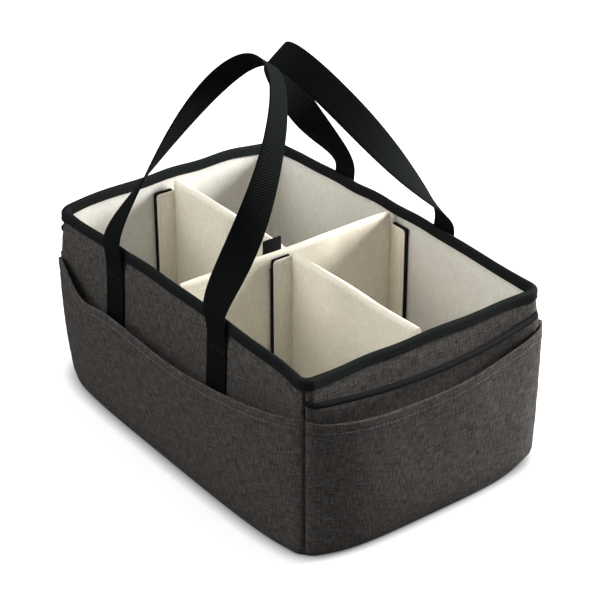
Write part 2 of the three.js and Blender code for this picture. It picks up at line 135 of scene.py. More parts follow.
# Handles. A run is half the distance between the legs, a crown its distance from the body's middle, and
# twists are the shares of the arch over which its ends turn on edge.
STRAP = 1.6 * MM
STRAP_WIDTH = 28 * MM
LEG_FOOT = 46 * MM
LEG_STEP = 4 * MM  # in which a leg steps out to the binding
PIVOT_OUT = 4.5 * MM
HANDLES = {
    "front": {"run": 79 * MM, "shift": -6 * MM, "height": 177 * MM, "crown": 23 * MM, "sway": 5 * MM,
              "twists": (0.36, 0.27), "overturn": math.radians(14)},
    "rear": {"run": 72 * MM, "shift": -12 * MM, "height": 167 * MM, "crown": 12 * MM, "sway": -9 * MM,
             "twists": (0.29, 0.29), "overturn": 0},
}
OVERTURN_AT = 0.62  # share of the arch
OVERTURN_REACH = 0.13
BEND_BULGE = 5 * MM  # how far the arch bulges out above the bend
BEND_BULGE_AT = 24 * MM
TACK_DROP = 27 * MM  # from the rim down to the stitches across a leg
TACK_MARGIN = 1.5 * MM

# Elastic cords
CORD = 5.6 * MM
CORD_DROP = 20.5 * MM  # from the rim down to the cord's ends
CORD_BOW = 10 * MM
CORD_SAG = 6.5 * MM
CORD_DIVE = 6 * MM  # how deep the ends go into the corner seams
CORD_BEND = 8 * MM  # length over which they do
BRAID_STRANDS = 8  # round the cord
BRAID_PITCH = 2.4 * MM

# Dividers
DIVIDER = 9 * MM
COVER = 1.1 * MM
WEB_PINCH = 0.3  # share of the thickness lost at a web's ends
WEB_PINCH_REACH = 5 * MM
WEB_DENT = 0.35 * MM
WEB_SAG = 0.8 * MM
FACE_SHIFT = 3  # sets the two faces' dents apart
FLAP_DROP = 12.5 * MM
FLAP_RADIUS = 3 * MM
FLAP_SEWING = 3 * MM  # from a flap's edge in to its stitches
INNER_FLAP_RISE = 9 * MM
TAPE_RADIUS = 1.5 * MM
TAPE_RISES = {
    "cross_divider_left_loop": 22 * MM,
    "right_divider_inner_hook": INNER_FLAP_RISE,
    "left_divider_inner_hook": INNER_FLAP_RISE,
}
PLATE_EDGE = 0.3  # rolled share of a plate's thickness
PLATE_ROLL = 0.35  # its roll-in, as a share too

# Pinched rim: how far each face of a wall is drawn in under the binding
PINCH = 2.4 * MM
PINCH_START = 22 * MM  # below the rim
PINCH_END = 6 * MM
PINCH_CORNER = 18 * MM

# Corners, each named after the wall that ends there: how far the foot is tucked in, the rim nipped in and
# the cloth bulged out
CORNERS = {
    "front": {"tuck": 2 * MM, "nip": 0, "bulge": 0},
    "right": {"tuck": 2.2 * MM, "nip": 0, "bulge": 6 * MM},
    "rear": {"tuck": 6 * MM, "nip": 0, "bulge": 0},
    "left": {"tuck": 7.5 * MM, "nip": 3.8 * MM, "bulge": 0},
}
TUCK_HEIGHT = 110 * MM  # where a tuck has run out
TUCK_REACH = 24 * MM
TUCK_TURN = 20 * MM  # length of wall over which the tuck turns towards the corner
NIP_FOOT = 125 * MM  # where a nip begins
BULGE_REACH = 34 * MM
BULGE_FOOT = 14 * MM  # heights over which a bulge comes in and goes
BULGE_TOP = 45 * MM

# Slackness of the cloth
SEAM_DIP = 2.6 * MM  # how deep the corner seams lie
SEAM_REACH = 1.1 * MM
SEAM_FOOT = 14 * MM  # height over which the dip comes in
PUCKER = 0.2 * MM
PUCKER_REACH = 8 * MM
BROAD_WAVE = 0.6 * MM
FINE_WAVE = 0.1 * MM
WALL_WAVE = 0.35 * MM
WAVE_FOOT = 45 * MM  # height over which the waves come in
LINING_DENT = 0.4 * MM
BASE_DENT = 0.4 * MM

# Unevenness: wavelength and seed of each
PUCKER_RIPPLES = (6 * MM, 5)
WALL_RIPPLES = (80 * MM, 11)
BROAD_RIPPLES = (110 * MM, 21)
FINE_RIPPLES = (34 * MM, 22)
LINING_RIPPLES = (70 * MM, 31)
BASE_RIPPLES = (90 * MM, 41)
LIFT_RIPPLES = (70 * MM, 51)
LEAN_RIPPLES = (55 * MM, 52)
DENT_RIPPLES = (45 * MM, 61)
SAG_RIPPLES = (70 * MM, 62)
RIPPLE_WAVES = 14
RIPPLE_SPREAD = (0.7, 1.6)  # of the single waves' lengths, as shares

# Sewing
THREAD = 0.22 * MM
THREAD_SIDES = 6
STITCH = 2.7 * MM
STITCH_PITCH = 3.6 * MM
STITCH_SPOTS = np.array((-0.5, -0.3, 0, 0.3, 0.5))  # sections of a stitch, as shares of its length
STITCH_LIFTS = np.array((-1.0, 0.35, 0.6, 0.35, -1.0))  # their heights over the cloth, in thread radii

# Mesh fineness
STATION = 3 * MM
CORNER_STEPS = 12
WALL_ROWS = 44
BACK_SKIP = 4  # a pad's hidden back has one row for so many of its face
POCKET_ROWS = 30
HEM_ROWS = 16
LINING_ROWS = 40
ROLL_ROWS = 8
POCKET_ROLL_ROWS = 6
FOLD_ROWS = 8
BINDING_ROWS = 7
BINDING_FOLD_ROWS = 13
STRAP_STEP = 2.5 * MM
STRAP_ROWS = 9
STRAP_EDGE_ROWS = 6
LEG_ROWS = 40
ARCH_ROWS = 241
EASE_PASSES = 6
CORD_STEPS = 60
CORD_SIDES = 16
WEB_COLUMNS = 60
WEB_ROWS = 30
WEB_TOP_ROWS = 12
PLATE_TURNS = 4
SEAM_SPOTS = 400
TACK_SPOTS = 40
SEWING_STEP = 1 * MM
SHARP_ANGLE = math.radians(60)
ROUND_BOW = 2  # powers for middleness: a round bow, and a flat one that falls off near the corners
FLAT_BOW = 4
UV_NAME = "weave"


class Side:
    """A wall seen from outside: the way it faces, the way it runs, half the body across and along it."""

    def __init__(self, name, before, out, along, reach, span, puff):
        self.out = np.array((*out, 0), float)
        self.along = np.array((*along, 0), float)
        self.reach = reach
        self.flat = span - CORNER_RADIUS
        self.seam = self.flat + CORNER_RADIUS * pi / 4
        self.puff = puff
        self.rise = RIM_RISES.get(name, 0)
        self.corners = (CORNERS[before], CORNERS[name])

    def at_corner(self, arc, what):
        """What is said of the nearer corner, for each arc length."""
        start, end = self.corners
        return np.where(arc < 0, start[what], end[what])


SIDES = {
    "front": Side("front", "left", (0, -1), (1, 0), HALF_WIDTH, HALF_LENGTH, SIDE_PUFF),
    "right": Side("right", "front", (1, 0), (0, 1), HALF_LENGTH, HALF_WIDTH, END_PUFF),
    "rear": Side("rear", "right", (0, 1), (-1, 0), HALF_WIDTH, HALF_LENGTH, SIDE_PUFF),
    "left": Side("left", "rear", (-1, 0), (0, -1), HALF_LENGTH, HALF_WIDTH, END_PUFF),
}


# Numbers and lines


def smooth(t):
    """An even ease from 0 to 1."""
    t = np.clip(t, 0, 1)
    return t * t * (3 - 2 * t)


def bell(distance, reach):
    """1 where the distance is 0, falling off over a reach to both sides."""
    return np.exp(-((distance / reach) ** 2))


def ripples(u, v, wavelength, seed):
    """A smooth seeded unevenness, mostly between -1 and 1."""
    draws = np.random.default_rng(seed)
    total = 0
    for _ in range(RIPPLE_WAVES):
        heading, phase = draws.uniform(0, 2 * pi, 2)
        rate = 2 * pi / (wavelength * draws.uniform(*RIPPLE_SPREAD))
        total = total + np.sin(rate * (u * math.cos(heading) + v * math.sin(heading)) + phase)
    return total / math.sqrt(RIPPLE_WAVES)


def unit(vectors):
    return vectors / np.linalg.norm(vectors, axis=-1, keepdims=True)


def running(path):
    """Running length at each point of a path."""
    steps = np.linalg.norm(np.diff(path, axis=0), axis=1)
    return np.concatenate([[0], np.cumsum(steps)])


def on_path(spots, run, path):
    """What a path has at given running lengths."""
    return np.stack([np.interp(spots, run, column) for column in path.T], -1)


def evenly(points, step):
    """Points moved to even steps along their own line, with any further columns."""
    run = running(points[:, :3])
    spots = np.linspace(0, run[-1], round(run[-1] / step) + 1)
    return on_path(spots, run, points)


def eased(points):
    """Points smoothed along their line, with the two ends kept."""
    for _ in range(EASE_PASSES):
        points[1:-1] = (points[:-2] + 2 * points[1:-1] + points[2:]) / 4
    return points


def spokes(across, up, sides):
    """Unit spokes of a round section, from the two directions that span it."""
    angles = np.linspace(0, 2 * pi, sides, endpoint=False)[:, None]
    return np.cos(angles) * across[..., None, :] + np.sin(angles) * up[..., None, :]


def other_axes(axis):
    return [other for other in range(3) if other != axis]


# Wall geometry, as functions of an arc length along a wall, a height and a depth inside its outer face


def stations(side):
    """Arc lengths from corner seam to corner seam, close together round the corners."""
    corner = np.linspace(side.flat, side.seam, CORNER_STEPS + 1)[1:]
    flat = np.linspace(-side.flat, side.flat, round(2 * side.flat / STATION) + 1)
    return np.concatenate([-corner[::-1], flat, corner])[:, None]


def tuck(side, arc, z):
    """How far a corner's foot and rim are drawn in."""
    fall = np.clip(1 - z / TUCK_HEIGHT, 0, 1) ** 2
    rise = smooth((z - NIP_FOOT) / (RIM_HEIGHT - NIP_FOOT))
    drawn = side.at_corner(arc, "tuck") * fall + side.at_corner(arc, "nip") * rise
    return drawn * bell(side.seam - np.abs(arc), TUCK_REACH)


def place(side, arc, z, depth, swell=0.0):
    """Points on a wall, pushed out by a swell and drawn in at the corners' feet and rims."""
    turn = np.maximum(np.abs(arc) - side.flat, 0) / CORNER_RADIUS
    radius = CORNER_RADIUS - depth
    heading = pi / 4 * smooth(1 - (side.flat - np.abs(arc)) / TUCK_TURN)
    drawn = tuck(side, arc, z)
    across = np.minimum(np.abs(arc), side.flat) + radius * np.sin(turn) - drawn * np.sin(heading)
    along = np.sign(arc) * across
    out = side.reach - CORNER_RADIUS + radius * np.cos(turn) + swell - drawn * np.cos(heading)
    along, out, z = (part[..., None] for part in np.broadcast_arrays(along, out, z))
    return along * side.along + out * side.out + z * UP


def middleness(side, arc, power):
    """0 at the corner seams and 1 at the middle of a wall, rising faster the higher the power."""
    return 1 - np.minimum(1, np.abs(arc) / side.seam) ** power


def rim_height(side, arc):
    """Height of a wall's upper edge: crowned along the long walls, and drawn up along the left end."""
    x = place(side, arc, RIM_HEIGHT, 0.0)[..., 0] / HALF_LENGTH
    return RIM_HEIGHT + RIM_CROWN * (1 - x * x) + side.rise * middleness(side, arc, FLAT_BOW)


def puff(side, arc, z):
    """Swell of the padded wall: fullest at the foot, none under the binding."""
    band = rim_height(side, arc) - BINDING_DROP - CLEARANCE
    fall = np.cos(pi / 2 * np.clip(z / band, 0, 1)) ** PUFF_FALL
    return side.puff * middleness(side, arc, FLAT_BOW) * fall


def pinch(side, arc, z):
    """How far a wall's faces are drawn in towards the binding."""
    below = rim_height(side, arc) - z
    return PINCH * smooth((PINCH_START - below) / (PINCH_START - PINCH_END))


def off_corner(side, arc):
    """0 at the corner seams, 1 away from them: the rim's outer face is not drawn in at its corners."""
    return 1 - bell(side.seam - np.abs(arc), PINCH_CORNER)


def slack(side, arc, z):
    """How far the cloth lies inside its plain form: drawn in at the corner seams, full beside some."""
    from_seam = side.seam - np.abs(arc)
    seam = SEAM_DIP * bell(from_seam, SEAM_REACH) * smooth(z / SEAM_FOOT)
    gathers = ripples(z, np.sign(arc) * side.seam, *PUCKER_RIPPLES)
    pucker = PUCKER * np.exp(-from_seam / PUCKER_REACH) * gathers
    height = smooth(z / BULGE_FOOT) * smooth((RIM_HEIGHT - z) / BULGE_TOP)
    bulge = side.at_corner(arc, "bulge") * height * bell(from_seam, BULGE_REACH)
    return seam + pucker - bulge


def wall_swell(side, arc, z):
    """How far a wall stands out: its padding's swell and the waves of its cloth."""
    loose = middleness(side, arc, FLAT_BOW) * smooth(z / WAVE_FOOT)
    return puff(side, arc, z) + WALL_WAVE * loose * ripples(arc, z, *WALL_RIPPLES)


def mouth_height(side, arc, pocket):
    """Height of a pocket's folded edge: dipped at mid length, moved at the corners, drooping."""
    z = RIM_HEIGHT - MOUTH_DROP - pocket["scoop"] * middleness(side, arc, ROUND_BOW)
    for seam, lift, reach in zip((-side.seam, side.seam), pocket["lifts"], LIFT_REACHES):
        z = z + lift * bell(arc - seam, reach)
    return z - pocket["droop"] * bell(arc + side.seam - DROOP_AT, DROOP_REACH)


def pocket_swell(side, arc, z, pocket):
    """How far a pocket stands out: the wall's swell, its own gape towards the mouth and its waves."""
    share = np.clip((z - FLOOR_RADIUS) / (mouth_height(side, arc, pocket) - FLOOR_RADIUS), 0, 1)
    waves = BROAD_WAVE * ripples(arc, z, *BROAD_RIPPLES) + FINE_WAVE * ripples(arc, z, *FINE_RIPPLES)
    loose = pocket["gape"] * share ** POCKET_BELLY + waves * smooth(z / WAVE_FOOT)
    return puff(side, arc, z) + loose * middleness(side, arc, FLAT_BOW)


def pocket_place(side, arc, z, layer, pocket):
    """Points on a pocket, in a layer outside the wall's face."""
    return place(side, arc, z, slack(side, arc, z) - layer, pocket_swell(side, arc, z, pocket))


def roll(angles, layer):
    """Depths and heights of the roll under a wall, for a layer outside its face."""
    radius = FLOOR_RADIUS + layer
    return FLOOR_RADIUS - radius * np.cos(angles), FLOOR_RADIUS - radius * np.sin(angles)


# Meshes


def add(name, data):
    made = bpy.data.objects.new(name, data)
    SCENE.collection.objects.link(made)
    return made


def skin(name, points, faces, uvs, material):
    """A mesh object from points, faces and a UV for each face corner, with its faces turned out."""
    mesh = bpy.data.meshes.new(name)
    mesh.from_pydata(np.asarray(points).tolist(), [], faces)
    layer = mesh.uv_layers.new(name=UV_NAME)
    layer.uv.foreach_set("vector", np.asarray(uvs, np.float32).ravel())
    shell = bmesh.new()
    shell.from_mesh(mesh)
    bmesh.ops.recalc_face_normals(shell, faces=shell.faces)
    shell.to_mesh(mesh)
    shell.free()
    mesh.materials.append(material)
    mesh.shade_smooth()
    mesh.set_sharp_from_angle(angle=SHARP_ANGLE)
    return add(name, mesh)


def lengths(points, axis):
    """Mean running length along one axis of a grid of points, closing length included."""
    ahead = np.roll(points, -1, axis=axis)
    steps = np.linalg.norm(ahead - points, axis=-1).mean(axis=1 - axis)
    return np.concatenate([[0], np.cumsum(steps)])


def loft(name, sections, material, ring=False):
    """A closed skin through sections of equal size.

    Its UVs are metres: U round a section, V along the row of sections.
    """
    count, size = sections.shape[:2]
    around = lengths(sections, 1)
    along = lengths(sections, 0)
    faces = []
    uvs = []
    for i in range(count if ring else count - 1):
        here = i * size
        ahead = (i + 1) % count * size
        for k in range(size):
            m = (k + 1) % size
            faces.append((here + k, here + m, ahead + m, ahead + k))
            for u, v in ((k, i), (k + 1, i), (k + 1, i + 1), (k, i + 1)):
                uvs.append((around[u], along[v]))
    if not ring:
        for end in (0, count - 1):
            faces.append(tuple(range(end * size, (end + 1) * size)))
            wide = np.sort(np.argsort(np.ptp(sections[end], axis=0))[1:])
            uvs.extend(sections[end][:, wide])
    return skin(name, sections.reshape(-1, 3), faces, uvs, material)


def rounded(width, height, radius):
    """Outline of a rounded rectangle about the origin, anticlockwise."""
    corners = []
    for k, (x, y) in enumerate(((1, 1), (-1, 1), (-1, -1), (1, -1))):
        angles = np.linspace(k * pi / 2, (k + 1) * pi / 2, PLATE_TURNS + 1)
        centre = (x * (width / 2 - radius), y * (height / 2 - radius))
        corners.append(np.stack([np.cos(angles), np.sin(angles)], 1) * radius + centre)
    return np.concatenate(corners)


def plate(name, low, high, radius, material):
    """A thin plate with rounded corners and rolled edges that fills a box."""
    size = high - low
    thin = int(np.argmin(size))
    wide = other_axes(thin)
    sections = []
    for share, rolled in ((0, PLATE_ROLL), (PLATE_EDGE, 0), (1 - PLATE_EDGE, 0), (1, PLATE_ROLL)):
        outline = rounded(*(size[wide] - 2 * rolled * size[thin]), radius)
        section = np.empty((len(outline), 3))
        section[:, wide] = outline + ((low + high) / 2)[wide]
        section[:, thin] = low[thin] + share * size[thin]
        sections.append(section)
    return loft(name, np.array(sections), material)


def strand(centres, radius):
    """Sections of a round tube along a row of centres, held level by a fixed upward guess."""
    ahead = unit(np.gradient(centres, axis=0))
    across = unit(np.cross(ahead, UP))
    return centres[:, None] + radius * spokes(across, np.cross(across, ahead), CORD_SIDES)


def stitches(name, path, normals, material):
    """A row of thread stitches along a path on cloth, each bowed and sunk into the cloth at its ends."""
    run = running(path)
    middles = np.arange(STITCH_PITCH / 2, run[-1], STITCH_PITCH)
    spots = middles[:, None] + STITCH_SPOTS * STITCH
    normal = unit(on_path(spots, run, normals))
    centre = on_path(spots, run, path) + normal * (STITCH_LIFTS * THREAD)[:, None]
    across = unit(np.cross(np.gradient(centre, axis=1), normal))
    rings = centre[:, :, None] + THREAD * spokes(across, normal, THREAD_SIDES)
    size = len(STITCH_SPOTS) * THREAD_SIDES
    faces = []
    for first in range(0, len(middles) * size, size):
        last = first + size - THREAD_SIDES
        for row in range(first, last, THREAD_SIDES):
            for k in range(THREAD_SIDES):
                m = (k + 1) % THREAD_SIDES
                faces.append((row + k, row + m, row + THREAD_SIDES + m, row + THREAD_SIDES + k))
        for end in (first, last):
            faces.append(tuple(range(end, end + THREAD_SIDES)))
    corners = sum(len(face) for face in faces)
    return skin(name, rings.reshape(-1, 3), faces, np.zeros((corners, 2)), material)


def settle(piece, body, slot, *nodes):
    """A piece rides on a body and stands for the nodes named, which are hidden. The slot is not used."""
    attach(piece, body)
    if nodes:
        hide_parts(*nodes)


# Materials


class Graph:
    """A fabric's node tree. Its pattern reads the pieces' UVs, which are metres."""

    def __init__(self, name, roughness, sheen=0.0, specular=0.3):
        self.material = bpy.data.materials.new(name)
        self.material.use_nodes = True
        self.tree = self.material.node_tree
        self.surface = self.tree.nodes["Principled BSDF"]
        looks = {"Roughness": roughness, "Sheen Weight": sheen, "Specular IOR Level": specular}
        for key, value in looks.items():
            self.surface.inputs[key].default_value = value
        self.uv = self.node("ShaderNodeUVMap", {}, uv_map=UV_NAME).outputs[0]

    def node(self, kind, inputs, **settings):
        """A node with its settings, and inputs that are values or other nodes' sockets."""
        made = self.tree.nodes.new(kind)
        for key, value in settings.items():
            setattr(made, key, value)
        for key, value in inputs.items():
            if isinstance(value, bpy.types.NodeSocket):
                self.tree.links.new(value, made.inputs[key])
            else:
                made.inputs[key].default_value = value
        return made

    def math(self, operation, a, b=0.0):
        return self.node("ShaderNodeMath", {0: a, 1: b}, operation=operation).outputs[0]

    def threads(self, u_size, v_size, detail=2.0):
        """Noise with cells of a size along U and along V, drawn out as spun threads are."""
        scale = (1 / u_size, 1 / v_size, 0)
        at = self.node("ShaderNodeVectorMath", {0: self.uv, 1: scale}, operation="MULTIPLY").outputs[0]
        noise = {"Vector": at, "Scale": 1.0, "Detail": detail}
        return self.node("ShaderNodeTexNoise", noise, noise_dimensions="2D").outputs[0]

    def crossed(self, operation, run, width, detail=2.0):
        """Threads along U and threads along V, put together."""
        level = self.threads(run, width, detail)
        upright = self.threads(width, run, detail)
        return self.math(operation, level, upright)

    def ribs(self, axis, pitch):
        """A wave between -1 and 1 along U (0) or V (1)."""
        part = self.node("ShaderNodeSeparateXYZ", {0: self.uv}).outputs[axis]
        return self.math("SINE", self.math("MULTIPLY", part, 2 * pi / pitch))

    def weave(self, pitch):
        """A chequer of threads that pass over and under."""
        return self.math("MULTIPLY", self.ribs(0, pitch), self.ribs(1, pitch))

    def ramp(self, value, low, high):
        """The value stretched so that low becomes 0 and high becomes 1, and held there."""
        inputs = {"Value": value, "From Min": low, "From Max": high}
        return self.node("ShaderNodeMapRange", inputs).outputs[0]

    def mix(self, share, a, b):
        return self.node("ShaderNodeMix", {0: share, 6: a, 7: b}, data_type="RGBA").outputs[2]

    def bump(self, height, distance, strength=1.0):
        """Relief from a height, on top of any relief that is there."""
        inputs = {"Height": height, "Distance": distance, "Strength": strength}
        normal = self.surface.inputs["Normal"]
        if normal.is_linked:
            inputs["Normal"] = normal.links[0].from_socket
        self.tree.links.new(self.node("ShaderNodeBump", inputs).outputs[0], normal)

    def paint(self, colour):
        self.tree.links.new(colour, self.surface.inputs["Base Color"])


def rgb(red, green, blue):
    return (red, green, blue, 1.0)


# Colours: dark and light, where there are two
CHARCOAL = (rgb(0.021, 0.0205, 0.02), rgb(0.109, 0.103, 0.098))
BROWN_FLECKS = rgb(0.08, 0.057, 0.041)
DARK_SLUBS = rgb(0.017, 0.017, 0.02)
WEBBING_BLACK = (rgb(0.0022, 0.0028, 0.0025), rgb(0.0075, 0.0094, 0.0083))
BINDING_BLACK = (rgb(0.005, 0.006, 0.006), rgb(0.016, 0.019, 0.018))
ELASTIC_BLACK = (rgb(0.003, 0.003, 0.003), rgb(0.011, 0.011, 0.011))
PILE_BLACK = (rgb(0.005, 0.005, 0.006), rgb(0.022, 0.022, 0.023))
WHITE = rgb(1, 1, 1)

# Threads of the woven cloths
WEAVE = 0.9 * MM
YARN = 0.8 * MM
HEATHER_RUN = 9 * MM  # length over which a thread keeps its tone
PALE_RUN = 14 * MM
BROWN_RUN = 8 * MM
SLUB_RUN = 30 * MM
SLUB = 0.9 * MM
FLECK = 0.7 * MM


def heather_cloth():
    """Charcoal cloth woven from dark, brown and grey flecked threads, with slubs both ways."""
    fleck_share = 0.4
    brown_share = 0.5
    slub_share = 0.35
    weave_share = 0.3
    cloth = Graph("heather_cloth", roughness=1.0, specular=0.04)
    fleck = cloth.math("MULTIPLY", cloth.threads(FLECK, FLECK), fleck_share)
    tone = cloth.math("ADD", cloth.crossed("ADD", HEATHER_RUN, YARN), fleck)
    ground = cloth.mix(cloth.ramp(tone, low=0.9, high=1.5), *CHARCOAL)
    brown = cloth.ramp(cloth.threads(BROWN_RUN, SLUB), low=0.5, high=0.7)
    tinted = cloth.mix(cloth.math("MULTIPLY", brown, brown_share), ground, BROWN_FLECKS)
    slub = cloth.ramp(cloth.crossed("MAXIMUM", SLUB_RUN, SLUB, detail=1.0), low=0.58, high=0.72)
    cloth.paint(cloth.mix(cloth.math("MULTIPLY", slub, slub_share), tinted, DARK_SLUBS))
    weave = cloth.math("MULTIPLY", cloth.weave(WEAVE), weave_share)
    cloth.bump(cloth.math("ADD", weave, tone), distance=0.12 * MM, strength=0.7)
    return cloth.material


def ribbed_tape(name, rib, relief, grain, light_at, tones):
    """Black tape with ribs across its width."""
    tape = Graph(name, roughness=0.9, specular=0.03)
    ribs = tape.ribs(1, rib)
    share = tape.ramp(tape.math("ADD", ribs, tape.threads(*grain)), low=-0.8, high=light_at)
    tape.paint(tape.mix(share, *tones))
    tape.bump(ribs, relief)
    return tape


def webbing():
    """Black webbing with ribs across its width and fine threads along it."""
    tape = ribbed_tape("webbing", rib=2.1 * MM, relief=0.18 * MM, grain=(1 * MM, 5 * MM), light_at=1.6,
                       tones=WEBBING_BLACK)
    tape.bump(tape.ribs(0, 1.5 * MM), distance=0.06 * MM)
    return tape.material


def binding_tape():
    """Black ribbed tape, finer than the webbing."""
    tape = ribbed_tape("binding_tape", rib=1.4 * MM, relief=0.12 * MM, grain=(3 * MM, 0.8 * MM),
                       light_at=1.7, tones=BINDING_BLACK)
    return tape.material


def pale_cloth(name, tones):
    """Fine plain-woven cloth with faint uneven threads."""
    cloth = Graph(name, roughness=0.9, sheen=0.1, specular=0.2)
    threads = cloth.crossed("ADD", PALE_RUN, YARN)
    cloth.paint(cloth.mix(cloth.ramp(threads, low=0.7, high=1.3), *tones))
    cloth.bump(cloth.math("ADD", cloth.weave(WEAVE), threads), distance=0.1 * MM, strength=0.6)
    return cloth.material


def braided_elastic():
    """Black braided sheath of the elastic cord."""
    braid = Graph("braided_elastic", roughness=0.7, specular=0.03)
    parts = braid.node("ShaderNodeSeparateXYZ", {0: braid.uv})
    turn = braid.math("MULTIPLY", parts.outputs[0], 2 * pi / (pi * CORD / BRAID_STRANDS))
    climb = braid.math("MULTIPLY", parts.outputs[1], 2 * pi / BRAID_PITCH)
    one = braid.math("SINE", braid.math("ADD", turn, climb))
    other = braid.math("SINE", braid.math("SUBTRACT", turn, climb))
    plait = braid.math("MAXIMUM", one, other)
    braid.paint(braid.mix(braid.ramp(plait, low=-0.5, high=1), *ELASTIC_BLACK))
    braid.bump(plait, distance=0.15 * MM)
    return braid.material


def hook_tape():
    """Black hook-and-loop tape with a dense short pile."""
    tape = Graph("hook_tape", roughness=0.95, specular=0.03)
    pile = tape.threads(FLECK, FLECK, detail=4.0)
    tape.paint(tape.mix(tape.ramp(pile, low=0.35, high=0.7), *PILE_BLACK))
    tape.bump(pile, distance=0.5 * MM)
    return tape.material


def speckled(name, roughness, specular, scale, detail, relief, tones):
    """A plain stuff with a speckle all through."""
    stuff = Graph(name, roughness, specular=specular)
    speckle = stuff.node("ShaderNodeTexNoise", {"Scale": scale, "Detail": detail}).outputs[0]
    stuff.paint(stuff.mix(speckle, *tones))
    stuff.bump(speckle, relief)
    return stuff.material


def thread(name, tones):
    """Twisted sewing thread."""
    return speckled(name, roughness=0.9, specular=0.05, scale=900.0, detail=2.0, relief=0.1 * MM,
                    tones=tones)


def grey_board():
    """Pressed grey board."""
    return speckled("grey_board", roughness=0.85, specular=0.3, scale=420.0, detail=5.0, relief=0.15 * MM,
                    tones=(rgb(0.2, 0.19, 0.17), rgb(0.32, 0.3, 0.27)))


HEATHER = heather_cloth()
WEBBING = webbing()
RIM_TAPE = binding_tape()
LINING_CLOTH = pale_cloth("lining_cloth", (rgb(0.56, 0.545, 0.5), rgb(0.68, 0.67, 0.62)))
DIVIDER_CLOTH = pale_cloth("divider_cloth", (rgb(0.7, 0.645, 0.53), rgb(0.85, 0.8, 0.68)))
ELASTIC = braided_elastic()
HOOK = hook_tape()
GREY_THREAD = thread("grey_thread", (rgb(0.15, 0.15, 0.155), rgb(0.25, 0.25, 0.26)))
BLACK_THREAD = thread("black_thread", (rgb(0.006, 0.007, 0.007), rgb(0.018, 0.02, 0.02)))
TACK_THREAD = thread("tack_thread", (rgb(0.018, 0.019, 0.019), rgb(0.04, 0.042, 0.042)))
CREAM_THREAD = thread("cream_thread", (rgb(0.5, 0.45, 0.36), rgb(0.68, 0.62, 0.5)))


# Camera and cords


def make_camera():
    level = math.cos(CAMERA_ELEVATION)
    back = Vector((math.sin(CAMERA_AZIMUTH) * level, -math.cos(CAMERA_AZIMUTH) * level,
                   math.sin(CAMERA_ELEVATION)))
    data = bpy.data.cameras.new("camera")
    data.lens = CAMERA_LENS
    data.sensor_width = SENSOR_WIDTH
    camera = add("camera", data)
    camera.location = CAMERA_TARGET + back * CAMERA_DISTANCE
    camera.rotation_euler = (-back).to_track_quat("-Z", "Y").to_euler()
    SCENE.camera = camera


def cord_route(side, arcs):
    """Centres of a cord: bowed out and sagging at mid length, diving into the seams at its ends."""
    middle = middleness(side, arcs, ROUND_BOW)
    z = RIM_HEIGHT - CORD_DROP - CORD_SAG * middle
    dive = CORD_DIVE * smooth(1 - (side.seam - np.abs(arcs)) / CORD_BEND)
    return place(side, arcs, z, dive - CORD / 2 - CLEARANCE, puff(side, arcs, z) + CORD_BOW * middle)


def make_cords():
    """Each elastic cord, as two halves that run from the corner seams, where they dive in, to the middle.
    """
    for name in ("right", "left"):
        side = SIDES[name]
        for part, start in (("first", -side.seam), ("second", side.seam)):
            route = cord_route(side, np.linspace(start, 0, CORD_STEPS + 1))
            half = loft(f"{name}_cord_{part}_half", strand(route, CORD / 2), ELASTIC)
            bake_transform(half)
            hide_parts(f"{name}_cord")


# Walls, pockets, lining, base and binding


def make_wall(name, side):
    """A padded wall: cloth over foam, rolled under at the foot and rounded over under the binding."""
    arc = stations(side)
    shoulder = rim_height(side, arc) - PAD_ROUND
    foot_depth, foot_z = roll(np.linspace(pi / 2, 0, ROLL_ROWS)[:-1], 0)
    face = np.linspace(0, 1, WALL_ROWS)
    back = face[::-BACK_SKIP]
    angles = np.linspace(0, pi, FOLD_ROWS)[1:-1]
    z = np.concatenate([
        foot_z * np.ones_like(arc),
        FLOOR_RADIUS + face * (shoulder - FLOOR_RADIUS),
        shoulder + PAD_ROUND * np.sin(angles),
        FLOOR_RADIUS + back * (shoulder - FLOOR_RADIUS),
    ], 1)
    depth = np.concatenate([foot_depth, 0 * face, PAD / 2 * (1 - np.cos(angles)), 0 * back + PAD])
    outside = np.concatenate([np.ones(len(foot_z) + len(face)), np.cos(angles / 2), 0 * back])
    inset = slack(side, arc, z) + off_corner(side, arc) * pinch(side, arc, z)
    grid = place(side, arc, z, depth + outside * inset, outside * wall_swell(side, arc, z))
    pad = loft(f"{name}_wall_pad", grid, HEATHER)
    settle(pad, "caddy", "shell_cloth", f"{name}_shell", f"{name}_foam")


def hem_swell(below):
    """How much thicker the cloth is below its folded edge, with the groove of the stitching."""
    band = smooth((HEM_DEPTH - below) / HEM_EDGE)
    return HEM_SWELL * band * (1 - HEM_PULL * bell(below - HEM_STITCH_DROP, HEM_GROOVE))


